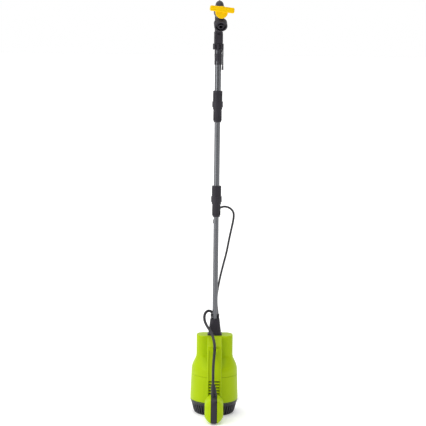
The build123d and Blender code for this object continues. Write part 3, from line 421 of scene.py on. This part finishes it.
def round_cord(name, route, diameter):
    """A round rubber cord along the route's smooth line."""
    cord = smooth_line(name, route)
    cord.data.bevel_depth = diameter / 2
    cord.data.bevel_resolution = 4
    cord.data.use_fill_caps = True
    cord.data.materials.append(cord_rubber)
    return cord


def taken_mesh(curve):
    """The curve's mesh; the curve itself is removed."""
    bpy.context.view_layer.update()
    mesh = bpy.data.meshes.new_from_object(curve)
    bpy.data.objects.remove(curve)
    return mesh


def points_along(route):
    """The points along the smooth line of a route, and its length."""
    mesh = taken_mesh(smooth_line("bare_line", route))
    line = np.array([vertex.co for vertex in mesh.vertices])
    bpy.data.meshes.remove(mesh)
    return line, float(np.linalg.norm(np.diff(line, axis=0), axis=1).sum())


def make_power_cord():
    """The mains cord: out of its gland, up beside the riser, over, down behind it and into a
    coil behind the pump, with the plug on the coil."""
    route = [*POWER_CORD_ROUTE, *coil_route(), *TAIL_ROUTE]
    cord = round_cord("mains_cord", route, CORD_DIAMETER)
    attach(cord, "pump")
    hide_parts("power_cord", "power_cord_coil", "power_cord_tail")


def make_float_lead():
    """The float's lead: one flexible cord that turns in the lugs of the channel cover."""
    line, length = points_along(FLOAT_LEAD_ROUTE)
    mesh = taken_mesh(round_cord("float_lead_curve", FLOAT_LEAD_ROUTE, LEAD_DIAMETER))
    mesh.shade_smooth()
    lead = link(bpy.data.objects.new("float_switch_lead", mesh))
    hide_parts("float_lead", "float_lead_drop")
    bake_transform(lead)


# ---- surfaces worked out on a grid ----
def surface_piece(name, grid, material, body, node, closed_rows=False, crease=40):
    """A closed surface through a grid of points in millimetres, in place of a CAD node. Every
    row is a closed loop. The rows either come round to the first one again, or their two ends
    are closed by a fan."""
    rows, columns = grid.shape[:2]
    row = np.arange(rows if closed_rows else rows - 1)[:, None] * columns
    beyond = (row + columns) % (rows * columns)
    column = np.arange(columns)
    after = np.roll(column, -1)
    corners = [row + column, row + after, beyond + after, beyond + column]
    faces = np.stack(corners, axis=-1).reshape(-1, 4).tolist()
    points = grid.reshape(-1, 3)
    if not closed_rows:
        points = np.vstack([points, grid[0].mean(0), grid[-1].mean(0)])
        hubs = np.full((2, columns), [[rows * columns], [rows * columns + 1]])
        last = (rows - 1) * columns
        faces += np.stack([after, column, hubs[0]], axis=-1).tolist()
        faces += np.stack([last + column, last + after, hubs[1]], axis=-1).tolist()
    mesh = bpy.data.meshes.new(name)
    mesh.from_pydata((points * MM).tolist(), [], faces)
    work = bmesh.new()
    work.from_mesh(mesh)
    bmesh.ops.recalc_face_normals(work, faces=work.faces)
    work.to_mesh(mesh)
    work.free()
    mesh.shade_smooth()
    mesh.set_sharp_from_angle(angle=math.radians(crease))
    mesh.materials.append(material)
    piece = link(bpy.data.objects.new(name, mesh))
    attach(piece, body)
    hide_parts(node)
    return piece


def turned_grid(profile, columns=64):
    """A profile of (radius, height) points carried once round the Z axis."""
    around = np.linspace(0, 2 * np.pi, columns, endpoint=False)
    radius, height = np.array(profile, float).T
    return np.stack(
        [
            radius[:, None] * np.cos(around),
            radius[:, None] * np.sin(around),
            np.repeat(height[:, None], columns, axis=1),
        ],
        axis=-1,
    )


def cad_box(node):
    """A CAD node's lowest and highest corners and its middle, in millimetres."""
    low_corner, high_corner = np.array(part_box(node)) / MM
    return low_corner, high_corner, (low_corner + high_corner) / 2


# ---- strain reliefs ----
RIB_DEPTH = 1.0
RIB_ROWS = 12
FOOT_ROUND = 0.3


def ribbed_relief(node, name, body, foot, tip, bore, ribs, swell=1.0, lean=0.0):
    """A tapered rubber sleeve. Its radius falls from foot to tip as a power of the way still to
    go, and dips between rounded ribs as the fourth power of a sine. The tip leans sideways."""
    low_corner, high_corner, middle = cad_box(node)
    share = np.linspace(0, 1, RIB_ROWS * ribs + 1)
    dip = np.abs(np.sin(np.pi * ribs * share)) ** 4
    outer = tip + (foot - tip) * (1 - share) ** swell - RIB_DEPTH * dip
    outer[0] -= FOOT_ROUND
    height = low_corner[2] + share * (high_corner[2] - low_corner[2])
    wall = np.stack([outer, height], axis=-1)
    hole = np.array([[bore, height[-1]], [bore, height[0]]])
    grid = turned_grid(np.vstack([wall, hole]), 48) + [middle[0], middle[1], 0]
    grid[..., 0] += lean * (grid[..., 2] - low_corner[2]) / (high_corner[2] - low_corner[2])
    surface_piece(name, grid, cord_rubber, body, node, closed_rows=True)


ribbed_relief("lead_strain_relief", "float_lead_relief", "pump", 7.0, 5.3, 4.4, 5)
ribbed_relief("cord_strain_relief", "mains_cord_relief", "pump", 6.5, 4.4, 3.4, 5)
ribbed_relief("float_strain_relief", "float_relief", "float", 10.6, 5.4, 4.4, 8, 0.5, -3.5)


# ---- float ----
FLOAT_COLUMNS = 160
FLOAT_POWER = 5.0
SLOPE_POWER = 1.3
STRAP_POWER = 0.75
STRAP_ROUND = 4.5  # how far the strap's edges fall away
STRAP_INSIDE = 7.0  # how deep the strap reaches into the float


def float_outline(x, middle, half_length, half_height, scale=1.0):
    """A superellipse across X: its two coordinates are the cosine and sine of one angle, each
    raised to 2 over the power with its sign kept."""
    around = np.linspace(0, 2 * np.pi, FLOAT_COLUMNS, endpoint=False)
    wave = np.stack([np.cos(around), np.sin(around)], axis=-1)
    outline = np.sign(wave) * np.abs(wave) ** (2 / FLOAT_POWER) * [half_length, half_height]
    return np.column_stack([np.full(FLOAT_COLUMNS, x), middle[1:] + scale * outline])


def float_half(side, node, name):
    """Half of the float. Going out from the band, the outline shrinks so that the distance out
    and the shrinkage, each to the slope's power, add up to a constant; both ends are flat."""
    low_corner, high_corner, middle = cad_box(node)
    half_length, half_height = (high_corner - low_corner)[1:] / 2
    rise = high_corner[0] - low_corner[0]
    seat = low_corner[0] if side > 0 else high_corner[0]
    out = np.sin(np.linspace(0, np.pi / 2, 22))
    shrink = 1 - (1 - out**SLOPE_POWER) ** (1 / SLOPE_POWER)
    # Each row's distance out from the band, its inset and its scale.
    rings = [(0.0, 0.0, scale) for scale in (0.3, 0.6, 0.85)]
    rings += [(rise * x, rise * inset, 1.0) for x, inset in zip(out, shrink)]
    rings += [(rise, rise, scale) for scale in (0.75, 0.5, 0.25)]
    rows = [
        float_outline(
            seat + side * distance, middle, half_length - inset, half_height - inset, scale
        )
        for distance, inset, scale in rings
    ]
    surface_piece(name, np.array(rows), lime_abs, "float", node, crease=50)


def float_belt():
    """The band round the float: a section crowned like a strap, a superellipse's quarter on
    each side, carried round the float's outline."""
    low_corner, high_corner, middle = cad_box("float_band")
    half_width, half_length, half_height = (high_corner - low_corner) / 2
    crown = np.linspace(0, np.pi / 2, 13)[:-1]
    across = half_width * np.cos(crown) ** STRAP_POWER
    fall = STRAP_ROUND * (1 - np.sin(crown) ** STRAP_POWER)
    right = np.vstack([[half_width, STRAP_INSIDE], np.stack([across, fall], axis=-1)])
    left = right[::-1] * [-1, 1]
    rows = [
        float_outline(middle[0] + x, middle, half_length - inset, half_height - inset)
        for x, inset in np.vstack([right, left])
    ]
    surface_piece(
        "float_belt",
        np.array(rows),
        charcoal_pp,
        "float",
        "float_band",
        closed_rows=True,
    )


float_half(-1, "float_shell_left", "float_half_left")
float_half(1, "float_shell_right", "float_half_right")
float_belt()


# ---- strainer ----
STRAINER_SLOTS = 44
STRAINER_COLUMNS = 12  # per slot and rib
STRAINER_ROWS = 46
SLOT_COLUMNS = 5
SLOT_DEPTH = 4.0
SLOT_LOW = 5.0
SLOT_HIGH = 34.0
SLOT_EDGE = 0.3  # over how much height a slot's ends step in
# Profiles of (radius, height).
STRAINER_UNDER = [(0.1, 0), (30, 0), (58, 0)]
STRAINER_OUTSIDE = [
    (62, 0),
    (64.5, 1.2),
    (67, 4),
    (70, 11),
    (72, 20),
    (74.6, 30),
    (77, 38),
    (78.4, 42),
    (79.4, 44.5),
]
STRAINER_INSIDE = [
    (79.7, 46.8),
    (79.65, 47.4),
    (79.3, 47.4),
    (79.3, 42),
    (75, 41.6),
    (71, 30),
    (67.5, 20),
    (60, 5),
    (58, 3),
    (30, 3),
    (0.1, 3),
]


def ribbed_strainer():
    """The strainer foot: a turned bowl whose wall steps in to a pocket at every slot, up to a
    plain rim that laps over the housing's lower edge."""
    radii, levels = np.array(STRAINER_OUTSIDE).T
    edges = [SLOT_LOW, SLOT_LOW + SLOT_EDGE, SLOT_HIGH, SLOT_HIGH + SLOT_EDGE]
    even = np.linspace(0, levels[-1], STRAINER_ROWS)
    heights = np.unique(np.concatenate([even, levels, edges]))
    outside = np.column_stack([np.interp(heights, levels, radii), heights])
    grid = turned_grid(
        np.vstack([STRAINER_UNDER, outside, STRAINER_INSIDE]), STRAINER_SLOTS * STRAINER_COLUMNS
    )
    in_slot = (np.arange(grid.shape[1]) % STRAINER_COLUMNS) < SLOT_COLUMNS
    for row, (radius, height) in enumerate(outside, start=len(STRAINER_UNDER)):
        if SLOT_LOW < height < SLOT_HIGH + SLOT_EDGE / 2:
            grid[row, in_slot, :2] *= (radius - SLOT_DEPTH) / radius
    surface_piece(
        "ribbed_strainer", grid, charcoal_pp, "pump", "strainer_base", crease=35
    )


ribbed_strainer()


# ---- upper housing ----
SEAM_HEIGHT = 133.0
SHOULDER_LOW = 159.0
SHOULDER_HIGH = 192.0
NECK_TOP = 266.0
SEAM_RADIUS = 77.16
SHOULDER_RADIUS = 76.2
NECK_HALF_WIDTH = 60.8
NECK_HALF_DEPTH = 34.0
NECK_CORNER = 26.0
FLAT_HALF = 1.0  # half the straight row between the round foot's quarter circles
SHOULDER_EASE = 9.0  # over how much height, each way, the shoulder's two bends are eased
RIM_RADIUS = 4.0
RISER_HOLE = 9.05
SKIN = 3.0
# The seam's groove: inset and height over the seam.
SEAM_GROOVE = [(1.6, 0.1), (1.4, 0.9), (0.4, 1.2)]
SEAM_GROOVE_TOP = 1.9
QUARTER_POINTS = 13
SIDE_POINTS = 8

# Height, half width, half depth and corner radius where the form changes. The first and last
# run on past the seam and the neck's top, so that easing leaves both as they are.
NECK_LEVELS = np.array(
    [
        [
            2 * SEAM_HEIGHT - SHOULDER_LOW,
            2 * SEAM_RADIUS - SHOULDER_RADIUS,
            2 * SEAM_RADIUS - SHOULDER_RADIUS,
            2 * SEAM_RADIUS - SHOULDER_RADIUS - FLAT_HALF,
        ],
        [SHOULDER_LOW, SHOULDER_RADIUS, SHOULDER_RADIUS, SHOULDER_RADIUS - FLAT_HALF],
        [SHOULDER_HIGH, NECK_HALF_WIDTH, NECK_HALF_DEPTH, NECK_CORNER],
        [NECK_TOP + SHOULDER_EASE, NECK_HALF_WIDTH, NECK_HALF_DEPTH, NECK_CORNER],
    ]
)


def neck_loop(form_height, inset, height):
    """The housing's outline as it is at one height, less the inset, drawn at another: a
    rectangle with rounded corners. Each of its sizes is averaged over the ease above and below.
    Each corner is a quarter circle, each side a straight row of points."""
    near = form_height + np.linspace(-SHOULDER_EASE, SHOULDER_EASE, 41)
    levels, *sizes = NECK_LEVELS.T
    half_width, half_depth, corner = (
        np.interp(near, levels, size).mean() - inset for size in sizes
    )
    quarter = np.linspace(0, np.pi / 2, QUARTER_POINTS)
    arcs = []
    for turn, (right, back) in enumerate([(1, 1), (-1, 1), (-1, -1), (1, -1)]):
        middle = np.array([right * (half_width - corner), back * (half_depth - corner)])
        angles = quarter + turn * np.pi / 2
        arcs.append(middle + corner * np.column_stack([np.cos(angles), np.sin(angles)]))
    share = np.linspace(0, 1, SIDE_POINTS + 1, endpoint=False)[1:, None]
    points = []
    for arc, following in zip(arcs, arcs[1:] + arcs[:1]):
        points += [arc, arc[-1] + share * (following[0] - arc[-1])]
    points = np.vstack(points)
    return np.column_stack([points, np.full(len(points), height)])


def smooth_upper_housing():
    """The upper housing: a round foot that eases through the shoulder into a flat neck with a
    rounded rim, then over the top to the riser's hole and down again inside."""
    rows = [neck_loop(SEAM_HEIGHT, inset, SEAM_HEIGHT + rise) for inset, rise in SEAM_GROOVE]
    for height in np.linspace(SEAM_HEIGHT + SEAM_GROOVE_TOP, NECK_TOP - RIM_RADIUS, 60):
        rows.append(neck_loop(height, 0.0, height))
    for angle in np.linspace(0, np.pi / 2, 9)[1:]:
        inset = RIM_RADIUS * (1 - np.cos(angle))
        rows.append(neck_loop(NECK_TOP, inset, NECK_TOP - RIM_RADIUS * (1 - np.sin(angle))))
    rim, hole = rows[-1], rows[-1].copy()
    around = np.arctan2(rim[:, 1], rim[:, 0])
    hole[:, :2] = RISER_HOLE * np.column_stack([np.cos(around), np.sin(around)])
    top = [rim + share * (hole - rim) for share in (0.25, 0.5, 0.75, 1.0)]
    rows += top + [row - [0, 0, SKIN] for row in reversed(top)]
    for height in np.linspace(NECK_TOP - SKIN - 1, rows[0][0, 2], 40):
        rows.append(neck_loop(height, SKIN, height))
    surface_piece(
        "upper_housing_moulding",
        np.array(rows),
        lime_abs,
        "pump",
        "upper_housing",
        closed_rows=True,
        crease=50,
    )


smooth_upper_housing()


# ---- plug ----
PLUG_NECK_LENGTH = 24.0
PLUG_NECK_RIBS = 6
PLUG_BODY_START = 24.5
PLUG_BODY_LENGTH = 22.0
PLUG_ROWS = 25


def moulded_plug():
    """A round mains plug: a ribbed neck that swells to a body with a waist for the fingers,
    turned about the cord's line."""
    low_corner, high_corner, middle = cad_box("power_plug")
    length = high_corner[0] - low_corner[0]
    share = np.linspace(0, 1, PLUG_ROWS)
    neck = 5 + 3.5 * share - 0.9 * np.abs(np.sin(np.pi * PLUG_NECK_RIBS * share)) ** 4
    waist = 1.2 * np.exp(-(((share - 0.55) / 0.16) ** 2))
    body = 11 + 7.3 * np.sin(np.pi / 2 * share) ** 1.5 - waist
    face = [(18.5, 48), (18.5, length - 1.6), (18, length - 0.5), (17, length), (8, length)]
    grid = turned_grid(
        np.vstack(
            [
                np.column_stack([neck, PLUG_NECK_LENGTH * share]),
                np.column_stack([body, PLUG_BODY_START + PLUG_BODY_LENGTH * share]),
                face,
            ]
        ),
        72,
    )
    lying = np.roll(grid, 1, axis=-1) + [low_corner[0], middle[1], middle[2]]
    return surface_piece(
        "mains_plug", lying, charcoal_pp, "pump", "power_plug"
    )


mains_plug = moulded_plug()
make_power_cord()
make_float_lead()


# ---- floor and light ----
FLOOR_REACH = 40.0
FLOOR_GLOW = 0.22  # lifts the floor to white, so that only the nearest shadow shows
PANEL_TARGET = (0, 0, 0.6)
WORLD_SIDE = 0.3
WORLD_BACK_FROM = 0.25  # the Y of a direction from which the room is white
WORLD_FRONT = 0.02
WORLD_FRONT_EDGE = (-0.96, -0.8)  # the Y of the directions between which the dark ends


def make_floor():
    """A plain white floor."""
    material, *_ = start_material(
        "white_studio_floor",
        Roughness=0.8,
        Base_Color=(0.9, 0.9, 0.9, 1),
        Emission_Color=(1, 1, 1, 1),
        Emission_Strength=FLOOR_GLOW,
    )
    data = bpy.data.meshes.new("floor")
    corners = [(-1, -1), (1, -1), (1, 1), (-1, 1)]
    places = [(FLOOR_REACH * x, FLOOR_REACH * y, 0) for x, y in corners]
    data.from_pydata(places, [], [(0, 1, 2, 3)])
    data.materials.append(material)
    link(bpy.data.objects.new("floor", data))


def add_lamp(name, kind, place, target, energy, **settings):
    """A lamp that faces the target."""
    data = bpy.data.lights.new(name, kind)
    data.energy = energy
    for setting, value in settings.items():
        setattr(data, setting, value)
    lamp = link(bpy.data.objects.new(name, data))
    lamp.location = place
    lamp.rotation_euler = (Vector(target) - Vector(place)).to_track_quat("-Z", "Y").to_euler()


def make_world():
    """A room that is white behind the object, grey at its sides and dark behind the camera, so
    that round metal gets a dark line down its middle."""
    world = bpy.data.worlds.new("studio")
    bpy.context.scene.world = world
    world.use_nodes = True
    tree = world.node_tree
    direction = add_node(tree, "ShaderNodeTexCoord").outputs["Generated"]
    parts = add_node(tree, "ShaderNodeSeparateXYZ", links={0: direction})
    ramp = add_node(tree, "ShaderNodeValToRGB", links={0: parts.outputs["Y"]})
    stops = ramp.color_ramp.elements
    stops[0].position, stops[0].color = 0.0, (WORLD_SIDE, WORLD_SIDE, WORLD_SIDE, 1)
    stops[1].position, stops[1].color = WORLD_BACK_FROM, (1, 1, 1, 1)
    dark_to, light_from = WORLD_FRONT_EDGE
    front = add_node(
        tree,
        "ShaderNodeMapRange",
        {"From Min": dark_to, "From Max": light_from, "To Min": WORLD_FRONT, "To Max": 1.0},
        {"Value": parts.outputs["Y"]},
    )
    tree.links.new(ramp.outputs["Color"], tree.nodes["Background"].inputs["Color"])
    tree.links.new(front.outputs["Result"], tree.nodes["Background"].inputs["Strength"])


make_floor()
add_lamp("overhead_sun", "SUN", (-0.8, -0.5, 3), (0, 0, 0), 2.0, angle=math.radians(80))
for name, place, energy, width, height in [
    ("left_softbox", (-2.4, -1.6, 1.3), 30, 1.2, 2.4),
    ("right_fill", (2.8, -1.6, 1.2), 5, 1.0, 2.0),
]:
    panel = {"shape": "RECTANGLE", "size": width, "size_y": height}
    add_lamp(name, "AREA", place, PANEL_TARGET, energy, **panel)
make_world()
bpy.context.scene.view_settings.view_transform = "Standard"
